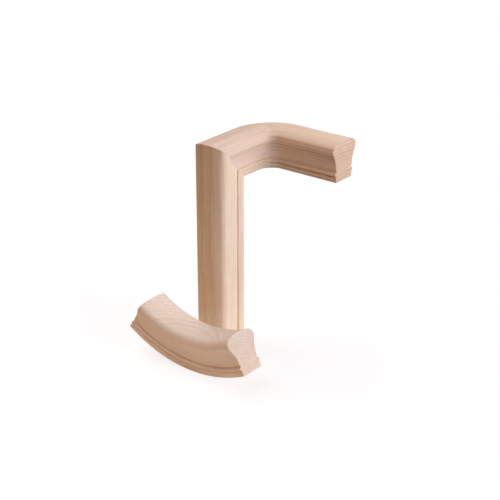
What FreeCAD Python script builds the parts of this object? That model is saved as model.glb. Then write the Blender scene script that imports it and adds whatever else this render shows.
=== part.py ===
"""Handrail gooseneck fitting in unfinished wood, as supplied before it is fixed to a stair.

A vertical riser is mitred into a level piece that runs back and round a quarter turn, and two dowel pins
cross the glued mitre. The up-easing that goes under the riser lies loose in front, on its curved back.
All three pieces have the same moulded rail section.

Units are millimetres. The origin is the middle of the riser's foot, +Z is up, -Y is the side that the
riser's crown faces, and +X is the way the level rail leaves the quarter turn.
"""
import FreeCAD
import Part
import math
import os

# Rail section, upper part: a crown, round shoulders and a long cove down to the waist
RAIL_WIDTH = 57.15
RAIL_HEIGHT = 60.3
CROWN_RADIUS = 76.2
SHOULDER_RADIUS = 10.0
WAIST_WIDTH = 39.3

# Rail section, lower part, from the underside up: fillet, groove, half-round bead and the quirk under the waist.
# The bead is drawn in flats that lie within 0.2 mm of its round, which keeps the bent rails light
FILLET_HEIGHT = 8.2
FILLET_TAPER = 1.0
GROOVE_WIDTH = 1.0
BEAD_RADIUS = 2.7
BEAD_FLATS = 5
BEAD_PROUD = 2.15
BEAD_OVERHANG = 1.4
QUIRK_WIDTH = 2.4
QUIRK_DEPTH = 1.6

# Gooseneck: height over all, clear underside of the level run up to the turn, and the rail beyond the turn
GOOSENECK_HEIGHT = 309.6
RUN_BEFORE_TURN = 34.95
TURN_INNER_RADIUS = 15.875
TURN_ANGLE = 90.0
RUN_AFTER_TURN = 96.8

# Up-easing: its bend, how far it is rocked towards its left end, and where it lies on the floor
EASING_CROWN_RADIUS = 155.6
EASING_ANGLE = 60.0
EASING_ROCK = 3.3
EASING_TO_RIGHT = 41.0
EASING_TO_RISER = 42.1

# Dowel pins across the mitre, and the wood left between their blind holes and the crown
DOWEL_DIAMETER = 9.5
DOWEL_LENGTH = 50.0
DOWEL_SPACING = 18.0
DOWEL_COVER = 18.0
DOWEL_CLEARANCE = 0.1
DOWEL_END_GAP = 1.0

QUARTER = 90
ORIGIN = FreeCAD.Vector(0, 0, 0)
X_AXIS = FreeCAD.Vector(1, 0, 0)
Y_AXIS = FreeCAD.Vector(0, 1, 0)
Z_AXIS = FreeCAD.Vector(0, 0, 1)

# The mitre halves the right angle between riser and level run: this is the way straight across the joint
ACROSS_MITRE = (Y_AXIS + Z_AXIS).normalize()


def at(u, v):
    """A point of the rail section: u from the middle plane, v up from the underside."""
    return FreeCAD.Vector(u, 0, v)


def lines(*points):
    """Straight edges from each point to the next."""
    return [Part.makeLine(start, end) for start, end in zip(points, points[1:])]


def arc(centre, start, end):
    """The shorter arc about centre from start to end."""
    radius = (start - centre).Length
    middle = centre + (start + end - centre * 2).normalize() * radius
    return Part.Arc(start, middle, end).toShape()


def upper_edges(waist):
    """Shoulder and cove, each tangent to what comes before it, from the edge of the crown to the waist."""
    crown_centre = at(0, RAIL_HEIGHT - CROWN_RADIUS)

    # The shoulder lies inside the crown's circle and touches the rail's widest line
    widest_u = RAIL_WIDTH / 2
    shoulder_u = widest_u - SHOULDER_RADIUS
    shoulder_rise = math.sqrt((CROWN_RADIUS - SHOULDER_RADIUS) ** 2 - shoulder_u ** 2)
    shoulder_centre = crown_centre + at(shoulder_u, shoulder_rise)
    widest = at(widest_u, shoulder_centre.z)
    crown_end = crown_centre + (shoulder_centre - crown_centre).normalize() * CROWN_RADIUS

    # The cove touches the shoulder from outside and ends upright at the waist
    inset = widest_u - waist.x
    drop = shoulder_centre.z - waist.z
    cove_radius = (inset ** 2 + drop ** 2) / (2 * inset) - SHOULDER_RADIUS
    cove_centre = waist + X_AXIS * cove_radius
    shoulder_end = shoulder_centre + (cove_centre - shoulder_centre).normalize() * SHOULDER_RADIUS

    return [Part.Arc(crown_end, widest, shoulder_end).toShape(), arc(cove_centre, shoulder_end, waist)]


def lower_points(waist):
    """Corners of the lower part: quirk, half-round bead, groove and fillet, from the waist to the underside."""
    crest_u = waist.x + BEAD_PROUD
    bead_u = crest_u - BEAD_RADIUS
    bead_v = waist.z - QUIRK_WIDTH - BEAD_RADIUS
    turns = [math.radians(QUARTER - i * 2 * QUARTER / BEAD_FLATS) for i in range(BEAD_FLATS + 1)]
    bead = [at(bead_u + BEAD_RADIUS * math.cos(t), bead_v + BEAD_RADIUS * math.sin(t)) for t in turns]
    ledge = at(crest_u - BEAD_OVERHANG, FILLET_HEIGHT)
    quirk_u = waist.x - QUIRK_DEPTH
    quirk = [waist, at(quirk_u, waist.z), at(quirk_u, bead[0].z)]
    return quirk + bead + [at(bead_u, ledge.z), ledge, at(ledge.x - FILLET_TAPER, 0)]


def rail_section():
    """The rail section as a face in the XZ plane, with the middle of its underside at the origin."""
    waist = at(WAIST_WIDTH / 2, FILLET_HEIGHT + GROOVE_WIDTH + 2 * BEAD_RADIUS + QUIRK_WIDTH)
    lower = lower_points(waist)
    corner = lower[-1]
    right = upper_edges(waist) + lines(*lower)
    left = [edge.mirror(ORIGIN, X_AXIS) for edge in right]
    crown_end = right[0].firstVertex().Point
    crown = Part.Arc(at(-crown_end.x, crown_end.z), at(0, RAIL_HEIGHT), crown_end).toShape()
    underside = Part.makeLine(at(-corner.x, 0), corner)
    return Part.Face(Part.Wire(Part.__sortEdges__([crown, underside] + right + left)))


def mitre_waste(riser):
    """The wedge that the mitre saws off the riser's top or off the level run's front end."""
    spare = RAIL_HEIGHT
    low, high = GOOSENECK_HEIGHT - RAIL_HEIGHT - spare, GOOSENECK_HEIGHT + spare
    front, back = -RAIL_HEIGHT / 2 - spare, RAIL_HEIGHT / 2 + spare
    square = (back, high) if riser else (front, low)
    corners = [FreeCAD.Vector(-RAIL_WIDTH, y, z) for y, z in ((front, high), (back, low), square)]
    wedge = Part.Face(Part.makePolygon(corners + corners[:1]))
    return wedge.extrude(X_AXIS * 2 * RAIL_WIDTH)


def cross_pins(radius, length):
    """Two round pins of one size square across the mitre, half their length in each piece."""
    reach = (DOWEL_LENGTH / 2 + DOWEL_END_GAP) * ACROSS_MITRE.z
    height = RAIL_HEIGHT - DOWEL_COVER - reach
    y = RAIL_HEIGHT / 2 - height
    z = GOOSENECK_HEIGHT - RAIL_HEIGHT + height
    half_way = ACROSS_MITRE * length / 2
    starts = [FreeCAD.Vector(x, y, z) - half_way for x in (-DOWEL_SPACING / 2, DOWEL_SPACING / 2)]
    return [Part.makeCylinder(radius, length, start, ACROSS_MITRE) for start in starts]


def dowel_holes():
    """The drilled space of both dowels, wider and longer than the pins by their clearances."""
    return cross_pins(DOWEL_DIAMETER / 2 + DOWEL_CLEARANCE, DOWEL_LENGTH + 2 * DOWEL_END_GAP)


def make_riser():
    """The upright rail, its crown to the front, sawn to the mitre at the top."""
    section = rail_section()
    section.rotate(ORIGIN, X_AXIS, QUARTER)
    section.translate(Y_AXIS * RAIL_HEIGHT / 2)
    upright = section.extrude(Z_AXIS * GOOSENECK_HEIGHT)
    return upright.cut([mitre_waste(riser=True)] + dowel_holes())


def make_level_quarter_turn():
    """The level rail: from the mitre straight back, round the quarter turn and on to its square end."""
    section = rail_section()
    section.translate(FreeCAD.Vector(0, -RAIL_HEIGHT / 2, GOOSENECK_HEIGHT - RAIL_HEIGHT))
    to_turn = Y_AXIS * (RAIL_HEIGHT + RUN_BEFORE_TURN)
    first_run = section.extrude(to_turn)

    section.translate(to_turn)
    turn_centre = to_turn + FreeCAD.Vector(RAIL_WIDTH / 2 + TURN_INNER_RADIUS, -RAIL_HEIGHT / 2, 0)
    turn = section.revolve(turn_centre, Z_AXIS, -TURN_ANGLE)

    section.rotate(turn_centre, Z_AXIS, -TURN_ANGLE)
    way_out = FreeCAD.Rotation(Z_AXIS, -TURN_ANGLE).multVec(Y_AXIS)
    second_run = section.extrude(way_out * RUN_AFTER_TURN)

    rail = first_run.fuse([turn, second_run]).removeSplitter()
    return rail.cut([mitre_waste(riser=False)] + dowel_holes())


def make_up_easing():
    """The rail bent upwards in a circular arc, lying on its underside with both ends off the floor."""
    section = rail_section()
    section.rotate(ORIGIN, Z_AXIS, QUARTER)
    bend_centre = Z_AXIS * (RAIL_HEIGHT + EASING_CROWN_RADIUS)
    section.rotate(bend_centre, Y_AXIS, EASING_ANGLE / 2 + EASING_ROCK)
    easing = section.revolve(bend_centre, Y_AXIS, -EASING_ANGLE)
    forward = RAIL_HEIGHT / 2 + EASING_TO_RISER + RAIL_WIDTH / 2
    easing.translate(FreeCAD.Vector(EASING_TO_RIGHT, -forward, 0))
    return easing


def make_mitre_dowels():
    """Two plain dowel pins, sawn square at both ends."""
    return Part.makeCompound(cross_pins(DOWEL_DIAMETER / 2, DOWEL_LENGTH))


PIECES = {
    "riser": make_riser,
    "level_quarter_turn": make_level_quarter_turn,
    "up_easing": make_up_easing,
    "mitre_dowels": make_mitre_dowels,
}

os.makedirs("parts", exist_ok=True)
for name, make in PIECES.items():
    shape = make()
    shape.exportStep(f"parts/{name}.step")
    print(f"{name}: {len(shape.Solids)} solid(s), valid {shape.isValid()}, {shape.Volume:.0f} mm3")
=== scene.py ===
"""Looks of a handrail gooseneck fitting: three rails of unfinished red oak, two dowel pins and the stage.

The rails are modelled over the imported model, in metres and in its frame: +Z is up, the riser's crown faces
-Y, and the level rail leaves the quarter turn along +X.
"""
import math

import bpy
from bpy.props import FloatProperty, FloatVectorProperty, IntProperty, PointerProperty
from mathutils import Matrix, Vector


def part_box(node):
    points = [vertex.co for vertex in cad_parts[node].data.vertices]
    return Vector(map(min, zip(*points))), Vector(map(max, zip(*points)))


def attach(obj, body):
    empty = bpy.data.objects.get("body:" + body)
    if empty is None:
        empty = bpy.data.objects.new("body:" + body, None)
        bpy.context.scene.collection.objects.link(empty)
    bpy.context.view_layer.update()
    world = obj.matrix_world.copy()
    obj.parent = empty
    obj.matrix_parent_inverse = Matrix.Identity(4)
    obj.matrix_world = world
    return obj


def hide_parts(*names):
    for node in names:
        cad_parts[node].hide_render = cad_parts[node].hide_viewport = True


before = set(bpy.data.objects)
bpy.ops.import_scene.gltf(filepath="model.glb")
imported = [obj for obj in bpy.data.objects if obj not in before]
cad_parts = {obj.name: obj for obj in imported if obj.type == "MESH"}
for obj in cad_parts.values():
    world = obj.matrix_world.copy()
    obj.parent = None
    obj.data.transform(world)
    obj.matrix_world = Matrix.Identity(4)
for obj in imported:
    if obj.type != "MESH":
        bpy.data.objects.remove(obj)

bl_info = {
    "name": "Handrail Gooseneck Fitting",
    "version": (1, 0, 0),
    "blender": (4, 5, 0),
    "location": "3D View > Sidebar > Gooseneck",
    "description": "Models the rails of a gooseneck fitting in unfinished oak, on a pale stage",
    "category": "Object",
}

MM = 0.001
BODY = "root"
RIGHT_ANGLE = math.pi / 2

# Modelling limits: how near two points are one, how sharp an edge is eased, and how sharp it stays creased
MIRROR_GAP = 0.01 * MM
SAME_POINT = 0.001 * MM
EASED_FROM = math.radians(40)
CREASED_FROM = math.radians(25)
EASED_FACETS = 2
FEWEST_ARC_STEPS = 2

# Stage: sides of the round floor, and the width of the camera's sensor in millimetres
FLOOR_SIDES = 64
SENSOR_WIDTH = 36

BLACK = (0, 0, 0, 1)
WHITE = (1, 1, 1, 1)

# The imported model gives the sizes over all, so that the modelled rails lie where its solids are
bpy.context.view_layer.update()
RISER_LOW, RISER_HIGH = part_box("riser")
LEVEL_LOW, LEVEL_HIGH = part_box("level_quarter_turn")
EASING_LOW, EASING_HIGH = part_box("up_easing")
PINS_LOW, PINS_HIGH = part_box("mitre_dowels")

# The mitre halves the right angle between riser and level run: this is the way straight across the joint
ACROSS_MITRE = Vector((0, 1, 1)).normalized()


def linear(code):
    """An sRGB hex colour as linear red, green and blue."""
    parts = [int(code[i:i + 2], 16) / 255 for i in (1, 3, 5)]
    return tuple(p / 12.92 if p <= 0.04045 else ((p + 0.055) / 1.055) ** 2.4 for p in parts)


class RailSection(bpy.types.PropertyGroup):
    """The moulded rail section that all three rails share."""
    width: FloatProperty(
        name="Width", description="Widest line of the rail, at its shoulders",
        unit="LENGTH", precision=5, default=RISER_HIGH.x - RISER_LOW.x)
    height: FloatProperty(
        name="Height", description="From the underside to the top of the crown",
        unit="LENGTH", precision=5, default=RISER_HIGH.y - RISER_LOW.y)
    crown_radius: FloatProperty(
        name="Crown radius", description="Radius of the gently rounded top",
        unit="LENGTH", precision=5, default=76.2 * MM)
    shoulder_radius: FloatProperty(
        name="Shoulder radius", description="Radius of the round edge beside the crown",
        unit="LENGTH", precision=5, default=10 * MM)
    waist_width: FloatProperty(
        name="Waist", description="Width at the foot of the long cove",
        unit="LENGTH", precision=5, default=39.3 * MM)
    fillet_height: FloatProperty(
        name="Fillet height", description="Height of the plain band below the bead",
        unit="LENGTH", precision=5, default=8.2 * MM)
    fillet_taper: FloatProperty(
        name="Fillet taper", description="How far the plain band draws in at the underside",
        unit="LENGTH", precision=5, default=1 * MM)
    groove_width: FloatProperty(
        name="Groove width", description="Width of the sunk groove below the bead",
        unit="LENGTH", precision=5, default=1 * MM)
    bead_radius: FloatProperty(
        name="Bead radius", description="Radius of the half-round bead",
        unit="LENGTH", precision=5, default=2.7 * MM)
    bead_proud: FloatProperty(
        name="Bead projection", description="How far the bead stands out from the waist",
        unit="LENGTH", precision=5, default=2.15 * MM)
    bead_overhang: FloatProperty(
        name="Bead overhang", description="How far the bead stands out from the fillet",
        unit="LENGTH", precision=5, default=1.4 * MM)
    quirk_width: FloatProperty(
        name="Quirk width", description="Width of the sunk groove above the bead",
        unit="LENGTH", precision=5, default=2.4 * MM)
    quirk_depth: FloatProperty(
        name="Quirk depth", description="Depth of the upper groove behind the waist",
        unit="LENGTH", precision=5, default=1.6 * MM)
    arris: FloatProperty(
        name="Eased edge", description="What sanding takes off the sharp edges",
        unit="LENGTH", precision=5, default=0.3 * MM)
    arc_step: FloatProperty(
        name="Arc step", description="Turn from one point of the section's arcs to the next",
        subtype="ANGLE", default=math.radians(5))


class TurnSettings(bpy.types.PropertyGroup):
    """The level quarter turn."""
    inner_radius: FloatProperty(
        name="Inner radius", description="Radius of the turn at the shoulder on its inside",
        unit="LENGTH", precision=5, default=15.875 * MM)
    steps: IntProperty(
        name="Turn steps", description="Segments round the quarter turn", default=40, min=8)


class EasingSettings(bpy.types.PropertyGroup):
    """The loose up-easing."""
    crown_radius: FloatProperty(
        name="Bend radius", description="Radius that the crown is bent to",
        unit="LENGTH", precision=5, default=155.6 * MM)
    angle: FloatProperty(
        name="Bend", description="Angle between the two ends",
        subtype="ANGLE", default=math.radians(60))
    rock: FloatProperty(
        name="Rock", description="How far it has rolled towards its left end",
        subtype="ANGLE", default=math.radians(3.3))
    middle: FloatProperty(
        name="Place along X", description="Where its underside touches the floor",
        unit="LENGTH", precision=5, default=41 * MM)
    steps: IntProperty(
        name="Bend steps", description="Segments along the bend", default=44, min=8)


class DowelSettings(bpy.types.PropertyGroup):
    """The holes for the dowel pins across the mitre."""
    diameter: FloatProperty(
        name="Hole diameter", description="Pin and glue line",
        unit="LENGTH", precision=5, default=9.7 * MM)
    spacing: FloatProperty(
        name="Spacing", description="Distance from hole to hole",
        unit="LENGTH", precision=5, default=18 * MM)
    length: FloatProperty(
        name="Length", description="Drilled length, half of it in each rail",
        unit="LENGTH", precision=5, default=52 * MM)
    sides: IntProperty(
        name="Sides", description="Segments round a hole", default=32, min=12)


class OakColours(bpy.types.PropertyGroup):
    """Colours of the unfinished oak. Each board has its own, and each figure leaves a share of it."""
    riser: FloatVectorProperty(
        name="Riser", description="Early wood of the riser's board",
        subtype="COLOR", min=0, max=1, default=linear("#F9E6D3"))
    level_front: FloatVectorProperty(
        name="Level rail, front",
        description="Early wood of the board from the mitre to the middle of the turn",
        subtype="COLOR", min=0, max=1, default=linear("#F3DDCD"))
    level_back: FloatVectorProperty(
        name="Level rail, back",
        description="Early wood of the board from the middle of the turn to the end",
        subtype="COLOR", min=0, max=1, default=linear("#F3DCC7"))
    easing: FloatVectorProperty(
        name="Up-easing", description="Early wood of the easing's board",
        subtype="COLOR", min=0, max=1, default=linear("#F1E2D5"))
    rosy: FloatVectorProperty(
        name="Rosy patches", description="What broad redder patches leave",
        subtype="COLOR", min=0, max=1, default=linear("#FEF9F8"))
    honey: FloatVectorProperty(
        name="Honey patches", description="What broad yellower patches leave",
        subtype="COLOR", min=0, max=1, default=linear("#FCF9F0"))
    late: FloatVectorProperty(
        name="Late wood", description="What the dense wood at the end of each yearly ring leaves",
        subtype="COLOR", min=0, max=1, default=linear("#EADED0"))
    pore: FloatVectorProperty(
        name="Pores", description="What the open pores leave, as short dashes along the grain",
        subtype="COLOR", min=0, max=1, default=linear("#DACEC4"))
    sawn: FloatVectorProperty(
        name="Sawn ends", description="What the end grain leaves",
        subtype="COLOR", min=0, max=1, default=linear("#F9F2F0"))


class StageSettings(bpy.types.PropertyGroup):
    """Floor, light and camera."""
    floor_radius: FloatProperty(
        name="Floor radius", description="Reach of the round floor", unit="LENGTH", default=9)
    bounce: FloatVectorProperty(
        name="Floor bounce", description="Colour of the light that the floor near the object sends back up",
        subtype="COLOR", min=0, max=1, default=linear("#F4ECDA"))
    bounce_middle: FloatVectorProperty(
        name="Bounce middle",
        description="Place on the floor, in front of the easing, from which most light comes back",
        subtype="XYZ", unit="LENGTH", precision=5, default=(10 * MM, -230 * MM, 0))
    bounce_reach: FloatProperty(
        name="Bounce reach", description="How far round that place the floor sends light back up",
        unit="LENGTH", default=0.27)
    bounce_edge: FloatProperty(
        name="Bounce edge", description="Share of that reach over which the light fades out, each way",
        subtype="FACTOR", min=0, max=1, default=0.3)
    shadow: FloatProperty(
        name="Shadow", description="Share of the floor's own shading that the camera sees",
        subtype="FACTOR", min=0, max=1, default=0.3)
    white: FloatProperty(
        name="White", description="Strength at which the floor is seen just white where no shadow falls",
        default=1.12)
    ambient: FloatVectorProperty(
        name="Room light", description="Soft light from all round",
        subtype="COLOR", min=0, max=1, default=linear("#3F3428"))
    side: FloatVectorProperty(
        name="Side light colour", description="Colour of the large light on the right",
        subtype="COLOR", min=0, max=1, default=linear("#FBF9FF"))
    side_strength: FloatProperty(
        name="Side light", description="Strength of the large light on the right", default=3.6)
    top: FloatVectorProperty(
        name="Top light colour", description="Colour of the large light above",
        subtype="COLOR", min=0, max=1, default=linear("#F6F9FF"))
    top_strength: FloatProperty(
        name="Top light", description="Strength of the large light above", default=2)
    fill: FloatVectorProperty(
        name="Fill colour", description="Colour of the weak light in front on the left",
        subtype="COLOR", min=0, max=1, default=linear("#FFA848"))
    fill_strength: FloatProperty(
        name="Fill", description="Strength of the weak light in front on the left", default=0.62)
    softness: FloatProperty(
        name="Softness", description="Angle that each large light fills",
        subtype="ANGLE", default=math.radians(50))
    aim: FloatVectorProperty(
        name="Aim", description="Point that the camera looks at",
        subtype="XYZ", unit="LENGTH", precision=5, default=(31 * MM, 29.85 * MM, 135.68 * MM))
    distance: FloatProperty(
        name="Distance", description="From the camera to that point",
        unit="LENGTH", precision=5, default=2.0492)
    azimuth: FloatProperty(
        name="Azimuth", description="The camera's way round from the front",
        subtype="ANGLE", default=math.radians(37.951))
    elevation: FloatProperty(
        name="Elevation", description="The camera's height over the horizon",
        subtype="ANGLE", default=math.radians(23.502))
    lens: FloatProperty(
        name="Focal length", description=f"In millimetres, on a sensor {SENSOR_WIDTH} mm wide",
        default=99.235)


class GooseneckSettings(bpy.types.PropertyGroup):
    """All settings of the fitting."""
    section: PointerProperty(type=RailSection)
    turn: PointerProperty(type=TurnSettings)
    easing: PointerProperty(type=EasingSettings)
    dowels: PointerProperty(type=DowelSettings)
    oak: PointerProperty(type=OakColours)
    stage: PointerProperty(type=StageSettings)


def add_node(tree, kind, inputs=None, **settings):
    """Adds one node with its settings. An input is a plain value, or another node's output to link to it."""
    node = tree.nodes.new(kind)
    for name, value in settings.items():
        setattr(node, name, value)
    for socket, value in (inputs or {}).items():
        if isinstance(value, bpy.types.NodeSocket):
            tree.links.new(value, node.inputs[socket])
        else:
            node.inputs[socket].default_value = value
    return node


# The Mix node's sockets for its first value, second value and result, by number because they share names
MIX_SHARE = 0
MIX_SOCKETS = {"FLOAT": (2, 3, 0), "VECTOR": (4, 5, 1), "RGBA": (6, 7, 2)}
MIX_FIRST, MIX_SECOND, MIX_RESULT = MIX_SOCKETS["RGBA"]

# Noise in the oak: its size in millimetres across the grain and along it, and its levels of detail.
# Fibres and pores are really about 0.2 mm wide, and are drawn as coarse as they need to be to show
NOISES = {
    "wander": (55, 260, 2),
    "fibre": (2, 80, 3),
    "pore": (0.9, 11, 1),
    "patch": (26, 110, 2),
}
NOISE_ROUGHNESS = 0.55

# What the noise draws: which noise, where in it the figure starts and is full, and its largest share
FIGURES = {
    "rosy": ("patch", 0.48, 0.66, 1),
    "honey": ("patch", 0.52, 0.34, 1),
    "fibre": ("fibre", 0.45, 0.75, 0.45),
    "pore": ("pore", 0.58, 0.72, 0.3),
}

# Yearly rings: their spacing and wandering in millimetres, the parts of a year after which late wood starts
# and is darkest, and the shares of the faintest and the boldest year
RING_SPACING = 3.4
RING_WANDER = 9
LATE_WOOD_START = 0.2
LATE_WOOD_DARKEST = 0.82
FAINTEST_YEAR = 0.1
BOLDEST_YEAR = 0.5

# Sawn ends: how square the grain meets a surface that looks a little sawn and one that looks fully so, as
# the cosine of its angle to the normal, and the share of the rings that shows there
SAWN_START = 0.75
SAWN_FULL = 0.9
RINGS_ON_SAWN_ENDS = 0.6

# Surface of the sanded oak: the range of its roughness, its sheen, and its relief in millimetres
OAK_SMOOTHEST = 0.6
OAK_ROUGHEST = 0.8
OAK_IOR = 1.5
OAK_SHEEN = 0.04
OAK_RELIEF = 0.12
OAK_RELIEF_STRENGTH = 0.35

ALONG_X, ALONG_Y, ALONG_Z = Matrix.Identity(3)


class Board:
    """A board as it lay in the tree. Its grain is first turned upright, and pith then shifts the middle of
    the tree to the origin, in millimetres. Coarse widens the whole pattern, and bold darkens the rings."""

    def __init__(self, grain, pith, colour, coarse=1, bold=1):
        self.grain = grain
        self.upright = grain.rotation_difference(ALONG_Z).to_euler()
        self.pith = Vector(pith) / coarse
        self.scale = Vector.Fill(3, 1 / MM / coarse)
        self.colour = (*colour, 1)
        self.bold = bold


def lay_boards(tree, place, board, glued_to, joint):
    """The place of each point in its tree, the way of its grain, its colour and how bold its rings are.
    Where x + y is larger than joint, they are those of the board that is glued on."""
    in_tree = []
    for laid in filter(None, (board, glued_to)):
        turned = add_node(tree, "ShaderNodeMapping", {
            "Vector": place.outputs["Object"],
            "Location": laid.pith, "Rotation": laid.upright, "Scale": laid.scale})
        in_tree.append(turned.outputs["Vector"])
    if not glued_to:
        return *in_tree, board.grain, board.colour, board.bold

    across = add_node(tree, "ShaderNodeVectorMath", {
        0: place.outputs["Object"], 1: ALONG_X + ALONG_Y}, operation="DOT_PRODUCT")
    beyond = add_node(tree, "ShaderNodeMath", {
        0: across.outputs["Value"], 1: joint}, operation="GREATER_THAN")
    mixed = []
    for kind, near, far in (
            ("VECTOR", *in_tree), ("VECTOR", board.grain, glued_to.grain),
            ("RGBA", board.colour, glued_to.colour), ("FLOAT", board.bold, glued_to.bold)):
        first, second, result = MIX_SOCKETS[kind]
        mix = add_node(tree, "ShaderNodeMix", {
            MIX_SHARE: beyond.outputs[0], first: near, second: far}, data_type=kind)
        mixed.append(mix.outputs[result])
    return mixed


def yearly_rings(tree, grain, wander, bold):
    """The share of late wood: rings round the pith that wander a little, with no two years alike."""
    flat = add_node(tree, "ShaderNodeVectorMath", {0: grain, 1: ALONG_X + ALONG_Y}, operation="MULTIPLY")
    from_pith = add_node(tree, "ShaderNodeVectorMath", {0: flat.outputs["Vector"]}, operation="LENGTH")
    wandering = add_node(tree, "ShaderNodeMath", {
        0: wander, 1: RING_WANDER, 2: from_pith.outputs["Value"]}, operation="MULTIPLY_ADD")
    years = add_node(tree, "ShaderNodeMath", {0: wandering.outputs[0], 1: RING_SPACING}, operation="DIVIDE")

    season = add_node(tree, "ShaderNodeMath", {0: years.outputs[0]}, operation="FRACT")
    late_wood = add_node(tree, "ShaderNodeValToRGB", {"Fac": season.outputs[0]})
    ramp = late_wood.color_ramp
    ramp.interpolation = "EASE"
    early, darkest = ramp.elements
    early.position, early.color = LATE_WOOD_START, BLACK
    darkest.position, darkest.color = LATE_WOOD_DARKEST, WHITE
    ramp.elements.new(1).color = BLACK

    year = add_node(tree, "ShaderNodeMath", {0: years.outputs[0]}, operation="FLOOR")
    kind = add_node(tree, "ShaderNodeTexWhiteNoise", {"W": year.outputs[0]}, noise_dimensions="1D")
    strength = add_node(tree, "ShaderNodeMapRange", {
        "Value": kind.outputs["Value"], "To Min": FAINTEST_YEAR, "To Max": BOLDEST_YEAR})
    drawn = add_node(tree, "ShaderNodeMath", {
        0: late_wood.outputs["Color"], 1: strength.outputs["Result"]}, operation="MULTIPLY")
    return add_node(tree, "ShaderNodeMath", {0: drawn.outputs[0], 1: bold}, operation="MULTIPLY").outputs[0]


def red_oak(name, colours, board, glued_to=None, joint=0):
    """Red oak, sanded and left bare: pale, dry and matt, with denser late wood in each yearly ring and open
    pores along the grain. The pattern is solid, so that long sides show lines and sawn ends show rings."""
    material = bpy.data.materials.new(name)
    material.use_nodes = True
    tree = material.node_tree
    tree.nodes.clear()
    place = add_node(tree, "ShaderNodeTexCoord")
    grain, along, colour, bold = lay_boards(tree, place, board, glued_to, joint)

    # Each noise is drawn out along the grain
    noise = {}
    for pattern, (across, length, detail) in NOISES.items():
        stretched = add_node(tree, "ShaderNodeVectorMath", {
            0: grain, 1: (1 / across, 1 / across, 1 / length)}, operation="MULTIPLY")
        drawn = add_node(tree, "ShaderNodeTexNoise", {
            "Vector": stretched.outputs["Vector"], "Scale": 1,
            "Detail": detail, "Roughness": NOISE_ROUGHNESS})
        noise[pattern] = drawn.outputs["Fac"]
    share = {}
    for figure, (pattern, start, full, most) in FIGURES.items():
        share[figure] = add_node(tree, "ShaderNodeMapRange", {
            "Value": noise[pattern], "From Min": start, "From Max": full, "To Max": most}).outputs["Result"]

    # Sawn ends, where the grain runs into the surface, take up more light and show the rings less
    facing = add_node(tree, "ShaderNodeVectorMath", {
        0: place.outputs["Normal"], 1: along}, operation="DOT_PRODUCT")
    square = add_node(tree, "ShaderNodeMath", {0: facing.outputs["Value"]}, operation="ABSOLUTE")
    share["sawn"] = add_node(tree, "ShaderNodeMapRange", {
        "Value": square.outputs[0], "From Min": SAWN_START, "From Max": SAWN_FULL}).outputs["Result"]
    shown = add_node(tree, "ShaderNodeMapRange", {
        "Value": share["sawn"], "To Min": 1, "To Max": RINGS_ON_SAWN_ENDS})
    share["ring"] = add_node(tree, "ShaderNodeMath", {
        0: yearly_rings(tree, grain, noise["wander"], bold), 1: shown.outputs["Result"],
    }, operation="MULTIPLY").outputs[0]

    # Broad patches come first, and the rest lies over them
    for figure, tint in (
            ("rosy", colours.rosy), ("honey", colours.honey), ("ring", colours.late),
            ("fibre", colours.late), ("pore", colours.pore), ("sawn", colours.sawn)):
        colour = add_node(tree, "ShaderNodeMix", {
            MIX_SHARE: share[figure], MIX_FIRST: colour, MIX_SECOND: (*tint, 1),
        }, data_type="RGBA", blend_type="MULTIPLY").outputs[MIX_RESULT]

    # Sanded bare wood is matt, a little rougher along the fibres
    roughness = add_node(tree, "ShaderNodeMapRange", {
        "Value": noise["fibre"], "To Min": OAK_SMOOTHEST, "To Max": OAK_ROUGHEST})
    relief = add_node(tree, "ShaderNodeMath", {0: noise["fibre"], 1: noise["pore"]}, operation="ADD")
    bump = add_node(tree, "ShaderNodeBump", {
        "Height": relief.outputs[0], "Strength": OAK_RELIEF_STRENGTH, "Distance": OAK_RELIEF * MM,
    }, invert=True)
    surface = add_node(tree, "ShaderNodeBsdfPrincipled", {
        "Base Color": colour, "Roughness": roughness.outputs["Result"], "Normal": bump.outputs["Normal"],
        "IOR": OAK_IOR, "Specular IOR Level": OAK_SHEEN})
    add_node(tree, "ShaderNodeOutputMaterial", {"Surface": surface.outputs["BSDF"]})
    return material


def edit_all(piece):
    """Makes a piece the only selected one and opens it in edit mode with all of it selected."""
    bpy.ops.object.select_all(action="DESELECT")
    bpy.context.view_layer.objects.active = piece
    piece.select_set(True)
    bpy.ops.object.mode_set(mode="EDIT")
    bpy.ops.mesh.select_all(action="SELECT")


def draw_arc(centre, angle, step):
    """Carries the selected point of the section clockwise about a centre."""
    steps = max(FEWEST_ARC_STEPS, math.ceil(abs(angle) / step))
    bpy.ops.mesh.spin(steps=steps, angle=-angle, center=(centre.x, 0, centre.y), axis=(0, 1, 0))


def draw_line(across, up):
    """Draws a straight edge from the selected point of the section."""
    bpy.ops.mesh.extrude_vertices_move(TRANSFORM_OT_translate={"value": (across, 0, up)})


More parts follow.
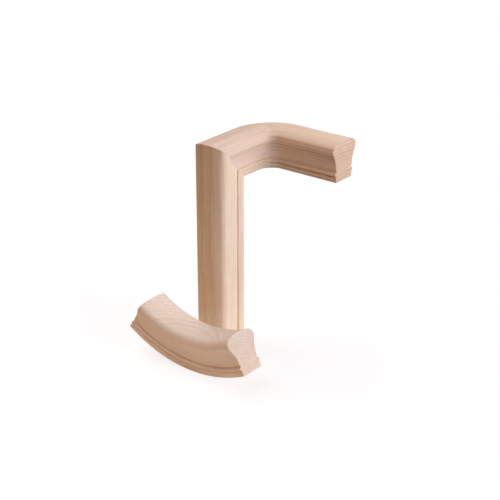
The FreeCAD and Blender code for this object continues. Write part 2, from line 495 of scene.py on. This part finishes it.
def rail_section(name, section):
    """The rail section as one upright face, with the middle of its underside at the origin."""
    bpy.ops.object.select_all(action="DESELECT")
    bpy.ops.mesh.primitive_plane_add(enter_editmode=True)
    piece = bpy.context.active_object
    piece.name = piece.data.name = name
    bpy.ops.mesh.select_all(action="SELECT")
    bpy.ops.mesh.merge(type="CENTER")
    bpy.ops.transform.translate(value=(0, 0, section.height))

    # Crown, shoulder and cove, each tangent to the one before. The flat crown takes finer steps
    radius = section.bead_radius
    waist_height = section.fillet_height + section.groove_width + 2 * radius + section.quirk_width
    waist = Vector((section.waist_width / 2, waist_height))
    half = section.width / 2
    inner = section.crown_radius - section.shoulder_radius
    crown = Vector((0, section.height - section.crown_radius))
    crown_angle = math.asin((half - section.shoulder_radius) / inner)
    shoulder = crown + inner * Vector((math.sin(crown_angle), math.cos(crown_angle)))
    inset, drop = half - waist.x, shoulder.y - waist.y
    cove_radius = (inset ** 2 + drop ** 2) / (2 * inset) - section.shoulder_radius
    cove = waist + Vector((cove_radius, 0))
    shoulder_end = math.atan2(cove.x - shoulder.x, cove.y - shoulder.y)
    draw_arc(crown, crown_angle, section.arc_step / 2)
    draw_arc(shoulder, shoulder_end - crown_angle, section.arc_step)
    draw_arc(cove, RIGHT_ANGLE - shoulder_end, section.arc_step)

    # Quirk, half-round bead, groove, fillet and half the underside. The small bead takes coarser steps
    bead = Vector((waist.x + section.bead_proud - radius, waist.y - section.quirk_width - radius))
    ledge_u = waist.x + section.bead_proud - section.bead_overhang
    draw_line(-section.quirk_depth, 0)
    draw_line(0, -section.quirk_width)
    draw_line(bead.x - waist.x + section.quirk_depth, 0)
    draw_arc(bead, 2 * RIGHT_ANGLE, 2 * section.arc_step)
    draw_line(0, -section.groove_width)
    draw_line(ledge_u - bead.x, 0)
    draw_line(-section.fillet_taper, -section.fillet_height)
    draw_line(section.fillet_taper - ledge_u, 0)

    # The left half mirrors the right
    bpy.ops.object.mode_set(mode="OBJECT")
    mirror = piece.modifiers.new("Left half", "MIRROR")
    mirror.merge_threshold = MIRROR_GAP
    bpy.ops.object.modifier_apply(modifier=mirror.name)
    edit_all(piece)
    bpy.ops.mesh.edge_face_add()
    bpy.ops.object.mode_set(mode="OBJECT")
    return piece


def set_down(piece, *steps):
    """Moves a section to where its rail starts, by turns and shifts in order, and opens it to be swept."""
    for step in steps:
        piece.matrix_world = step @ piece.matrix_world
    bpy.ops.object.transform_apply(location=True, rotation=True, scale=True)
    edit_all(piece)


def run_straight(way):
    """Carries the selected end of a rail straight on."""
    bpy.ops.mesh.extrude_region_move(TRANSFORM_OT_translate={"value": way})


def run_round(centre, axis, angle, steps):
    """Carries the selected end of a rail round an axis, by the right-hand rule."""
    bpy.ops.mesh.spin(steps=steps, angle=-angle, center=centre, axis=axis)


def ease_edges(width):
    """Closes the sweep: faces outwards, and every sharp edge taken off a little, as sanding does."""
    bpy.ops.mesh.select_all(action="SELECT")
    bpy.ops.mesh.remove_doubles(threshold=SAME_POINT)
    bpy.ops.mesh.normals_make_consistent(inside=False)
    bpy.ops.mesh.select_mode(type="EDGE")
    bpy.ops.mesh.select_all(action="DESELECT")
    bpy.ops.mesh.edges_select_sharp(sharpness=EASED_FROM)
    bpy.ops.mesh.bevel(offset=width, segments=EASED_FACETS, affect="EDGES", clamp_overlap=False)
    bpy.ops.mesh.select_mode(type="VERT")


def saw_mitre(keep_riser):
    """Saws the open rail along the mitre and keeps the riser's side of it, or the level run's."""
    bpy.ops.mesh.select_all(action="SELECT")
    middle = (0, 0, (LEVEL_LOW.z + LEVEL_HIGH.z) / 2)
    bpy.ops.mesh.bisect(
        plane_co=middle, plane_no=ACROSS_MITRE, use_fill=True,
        clear_outer=keep_riser, clear_inner=not keep_riser)


def drill_dowel_holes(piece, dowels):
    """Drills the two blind holes square to the mitre."""
    middle = (PINS_LOW + PINS_HIGH) / 2
    square_to_mitre = ACROSS_MITRE.to_track_quat("Z", "Y").to_euler()
    for side in (-1, 1):
        spot = middle + Vector((side * dowels.spacing / 2, 0, 0))
        bpy.ops.object.select_all(action="DESELECT")
        bpy.ops.mesh.primitive_cylinder_add(
            vertices=dowels.sides, radius=dowels.diameter / 2, depth=dowels.length, location=spot,
            rotation=square_to_mitre)
        drill = bpy.context.active_object
        bpy.context.view_layer.objects.active = piece
        hole = piece.modifiers.new("Dowel hole", "BOOLEAN")
        hole.object = drill
        hole.solver = "EXACT"
        bpy.ops.object.modifier_apply(modifier=hole.name)
        bpy.data.objects.remove(drill)


def finish_rail(piece, node, material):
    """Gives a rail its wood and lets it stand for its solid."""
    bpy.ops.object.select_all(action="DESELECT")
    bpy.context.view_layer.objects.active = piece
    piece.select_set(True)
    bpy.ops.object.shade_smooth_by_angle(angle=CREASED_FROM)
    piece.data.materials.clear()
    piece.data.materials.append(material)
    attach(piece, BODY)
    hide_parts(node)


class GOOSENECK_OT_riser(bpy.types.Operator):
    """Model the upright rail, sawn to the mitre at its top"""
    bl_idname = "gooseneck.riser"
    bl_label = "Riser"

    def execute(self, context):
        settings = context.scene.gooseneck
        section = settings.section
        piece = rail_section("riser_rail", section)
        set_down(
            piece, Matrix.Rotation(RIGHT_ANGLE, 4, "X"), Matrix.Translation((0, section.height / 2, 0)))
        run_straight((0, 0, RISER_HIGH.z))
        ease_edges(section.arris)
        saw_mitre(keep_riser=True)
        bpy.ops.object.mode_set(mode="OBJECT")
        drill_dowel_holes(piece, settings.dowels)
        board = Board(ALONG_Z, pith=(25, -110, 0), colour=settings.oak.riser)
        oak = red_oak("sanded_red_oak_riser", settings.oak, board)
        finish_rail(piece, "riser", oak)
        return {"FINISHED"}


class GOOSENECK_OT_level_turn(bpy.types.Operator):
    """Model the level rail from the mitre round the quarter turn to its square end"""
    bl_idname = "gooseneck.level_turn"
    bl_label = "Level quarter turn"

    def execute(self, context):
        settings = context.scene.gooseneck
        section = settings.section
        to_centre = section.width / 2 + settings.turn.inner_radius
        turn_y = LEVEL_HIGH.y - section.width / 2 - to_centre
        piece = rail_section("level_turn_rail", section)
        set_down(piece, Matrix.Translation((0, LEVEL_LOW.y, LEVEL_LOW.z)))
        run_straight((0, turn_y - LEVEL_LOW.y, 0))
        run_round((to_centre, turn_y, 0), (0, 0, 1), -RIGHT_ANGLE, settings.turn.steps)
        run_straight((LEVEL_HIGH.x - to_centre, 0, 0))
        ease_edges(section.arris)
        saw_mitre(keep_riser=False)
        bpy.ops.object.mode_set(mode="OBJECT")
        drill_dowel_holes(piece, settings.dowels)
        front = Board(ALONG_Y, pith=(-20, 150, 60), colour=settings.oak.level_front)
        back = Board(
            ALONG_X, pith=(61.8, -110, 300), colour=settings.oak.level_back, coarse=1.6, bold=2.8)
        oak = red_oak("sanded_red_oak_level_turn", settings.oak, front, back, joint=to_centre + turn_y)
        finish_rail(piece, "level_quarter_turn", oak)
        return {"FINISHED"}


class GOOSENECK_OT_up_easing(bpy.types.Operator):
    """Model the bent rail that lies loose in front"""
    bl_idname = "gooseneck.up_easing"
    bl_label = "Up-easing"

    def execute(self, context):
        settings = context.scene.gooseneck
        section, easing = settings.section, settings.easing
        bend_centre = Vector((0, 0, section.height + easing.crown_radius))
        start = easing.angle / 2 + easing.rock
        place = Vector((easing.middle, (EASING_LOW.y + EASING_HIGH.y) / 2, 0))
        piece = rail_section("up_easing_rail", section)
        set_down(
            piece, Matrix.Rotation(RIGHT_ANGLE, 4, "Z"), Matrix.Translation(-bend_centre),
            Matrix.Rotation(start, 4, "Y"), Matrix.Translation(bend_centre + place))
        run_round(bend_centre + place, (0, 1, 0), -easing.angle, easing.steps)
        ease_edges(section.arris)
        bpy.ops.object.mode_set(mode="OBJECT")
        board = Board(ALONG_X, pith=(-75, 143, 0), colour=settings.oak.easing)
        oak = red_oak("sanded_red_oak_up_easing", settings.oak, board)
        finish_rail(piece, "up_easing", oak)
        return {"FINISHED"}


class GOOSENECK_OT_dowels(bpy.types.Operator):
    """Give the two dowel pins in the mitre their wood"""
    bl_idname = "gooseneck.dowels"
    bl_label = "Mitre dowels"

    def execute(self, context):
        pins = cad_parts["mitre_dowels"]
        colours = context.scene.gooseneck.oak
        board = Board(ACROSS_MITRE, pith=(60, 20, 0), colour=colours.riser)
        oak = red_oak("sanded_red_oak_dowels", colours, board)
        pins.data.materials.clear()
        pins.data.materials.append(oak)
        return {"FINISHED"}


def seen_or_lit(tree, seen, lit):
    """A shader that the camera and shiny surfaces see as one thing and that lights the object as another."""
    ray = add_node(tree, "ShaderNodeLightPath")
    mirrored = add_node(tree, "ShaderNodeMath", {
        0: ray.outputs["Is Glossy Ray"], 1: ray.outputs["Is Transmission Ray"]}, operation="MAXIMUM")
    direct = add_node(tree, "ShaderNodeMath", {
        0: ray.outputs["Is Camera Ray"], 1: mirrored.outputs[0]}, operation="MAXIMUM")
    both = add_node(tree, "ShaderNodeMixShader", {"Fac": direct.outputs[0], 1: lit, 2: seen})
    return both.outputs["Shader"]


def pale_floor(stage):
    """A matt pale floor: the camera sees it white with the object's soft shadow on it, and in front of the
    object it sends cream-coloured light back up."""
    material = bpy.data.materials.new("matt_pale_floor")
    material.use_nodes = True
    tree = material.node_tree
    tree.nodes.clear()
    place = add_node(tree, "ShaderNodeTexCoord")
    away = add_node(tree, "ShaderNodeVectorMath", {
        0: place.outputs["Object"], 1: stage.bounce_middle}, operation="DISTANCE")
    near = add_node(tree, "ShaderNodeMapRange", {
        "Value": away.outputs["Value"], "From Min": stage.bounce_reach * (1 + stage.bounce_edge),
        "From Max": stage.bounce_reach * (1 - stage.bounce_edge)})
    cream = add_node(tree, "ShaderNodeMix", {
        MIX_SHARE: near.outputs["Result"], MIX_FIRST: BLACK, MIX_SECOND: (*stage.bounce, 1),
    }, data_type="RGBA")
    bounce = add_node(tree, "ShaderNodeBsdfDiffuse", {"Color": cream.outputs[MIX_RESULT]})
    shaded = add_node(tree, "ShaderNodeBsdfDiffuse", {"Color": WHITE})
    white = add_node(tree, "ShaderNodeEmission", {"Color": WHITE, "Strength": stage.white})
    seen = add_node(tree, "ShaderNodeMixShader", {
        "Fac": stage.shadow, 1: white.outputs["Emission"], 2: shaded.outputs["BSDF"]})
    both = seen_or_lit(tree, seen.outputs["Shader"], bounce.outputs["BSDF"])
    add_node(tree, "ShaderNodeOutputMaterial", {"Surface": both})
    return material


def room_light(world, stage):
    """The room round the object: seen white, and lighting it softly from all sides."""
    world.use_nodes = True
    tree = world.node_tree
    tree.nodes.clear()
    white = add_node(tree, "ShaderNodeBackground", {"Color": WHITE, "Strength": 1})
    soft = add_node(tree, "ShaderNodeBackground", {"Color": (*stage.ambient, 1), "Strength": 1})
    both = seen_or_lit(tree, white.outputs["Background"], soft.outputs["Background"])
    add_node(tree, "ShaderNodeOutputWorld", {"Surface": both})


# Ways from the object to the lights
SIDE_LIGHT_WAY = Vector((0.9, 0.05, 0.18))
TOP_LIGHT_WAY = Vector((-0.75, 0.16, 1))
FILL_LIGHT_WAY = Vector((-0.6, -0.7, 0.4))


class GOOSENECK_OT_stage(bpy.types.Operator):
    """Set the floor, the light and the camera"""
    bl_idname = "gooseneck.stage"
    bl_label = "Stage"

    def execute(self, context):
        scene, stage = context.scene, context.scene.gooseneck.stage
        scene.view_settings.view_transform = "Standard"

        bpy.ops.object.select_all(action="DESELECT")
        bpy.ops.mesh.primitive_circle_add(vertices=FLOOR_SIDES, radius=stage.floor_radius, fill_type="NGON")
        floor = context.active_object
        floor.name = "floor"
        floor.data.materials.append(pale_floor(stage))

        scene.world = bpy.data.worlds.new("pale_room")
        room_light(scene.world, stage)
        for name, way, strength, colour in (
                ("side_light", SIDE_LIGHT_WAY, stage.side_strength, stage.side),
                ("top_light", TOP_LIGHT_WAY, stage.top_strength, stage.top),
                ("fill_light", FILL_LIGHT_WAY, stage.fill_strength, stage.fill)):
            turn = way.to_track_quat("Z", "Y").to_euler()
            bpy.ops.object.light_add(type="SUN", location=way, rotation=turn)
            lamp = context.active_object
            lamp.name = name
            lamp.data.energy = strength
            lamp.data.angle = stage.softness
            lamp.data.color = colour

        back = Vector((
            math.sin(stage.azimuth) * math.cos(stage.elevation),
            -math.cos(stage.azimuth) * math.cos(stage.elevation),
            math.sin(stage.elevation)))
        bpy.ops.object.camera_add(
            location=Vector(stage.aim) + back * stage.distance,
            rotation=(RIGHT_ANGLE - stage.elevation, 0, stage.azimuth))
        camera = context.active_object
        camera.data.lens = stage.lens
        camera.data.sensor_width = SENSOR_WIDTH
        scene.camera = camera
        return {"FINISHED"}


class GOOSENECK_PT_sidebar(bpy.types.Panel):
    """Lists the pieces of the fitting and their settings"""
    bl_idname = "GOOSENECK_PT_sidebar"
    bl_label = "Gooseneck Fitting"
    bl_space_type = "VIEW_3D"
    bl_region_type = "UI"
    bl_category = "Gooseneck"

    def draw(self, context):
        for operator in OPERATORS:
            self.layout.operator(operator.bl_idname)
        settings = context.scene.gooseneck
        for group in (
                settings.section, settings.turn, settings.easing, settings.dowels, settings.oak,
                settings.stage):
            box = self.layout.box()
            for name in group.__annotations__:
                box.prop(group, name)


GROUPS = (
    RailSection, TurnSettings, EasingSettings, DowelSettings, OakColours, StageSettings, GooseneckSettings)
OPERATORS = (
    GOOSENECK_OT_riser, GOOSENECK_OT_level_turn, GOOSENECK_OT_up_easing, GOOSENECK_OT_dowels,
    GOOSENECK_OT_stage)
CLASSES = (*GROUPS, *OPERATORS, GOOSENECK_PT_sidebar)


def register():
    for cls in CLASSES:
        bpy.utils.register_class(cls)
    bpy.types.Scene.gooseneck = PointerProperty(type=GooseneckSettings)


def unregister():
    del bpy.types.Scene.gooseneck
    for cls in reversed(CLASSES):
        bpy.utils.unregister_class(cls)


def main():
    """Makes every piece and the stage."""
    register()
    bpy.ops.gooseneck.riser()
    bpy.ops.gooseneck.level_turn()
    bpy.ops.gooseneck.up_easing()
    bpy.ops.gooseneck.dowels()
    bpy.ops.gooseneck.stage()


if __name__ == "__main__":
    main()
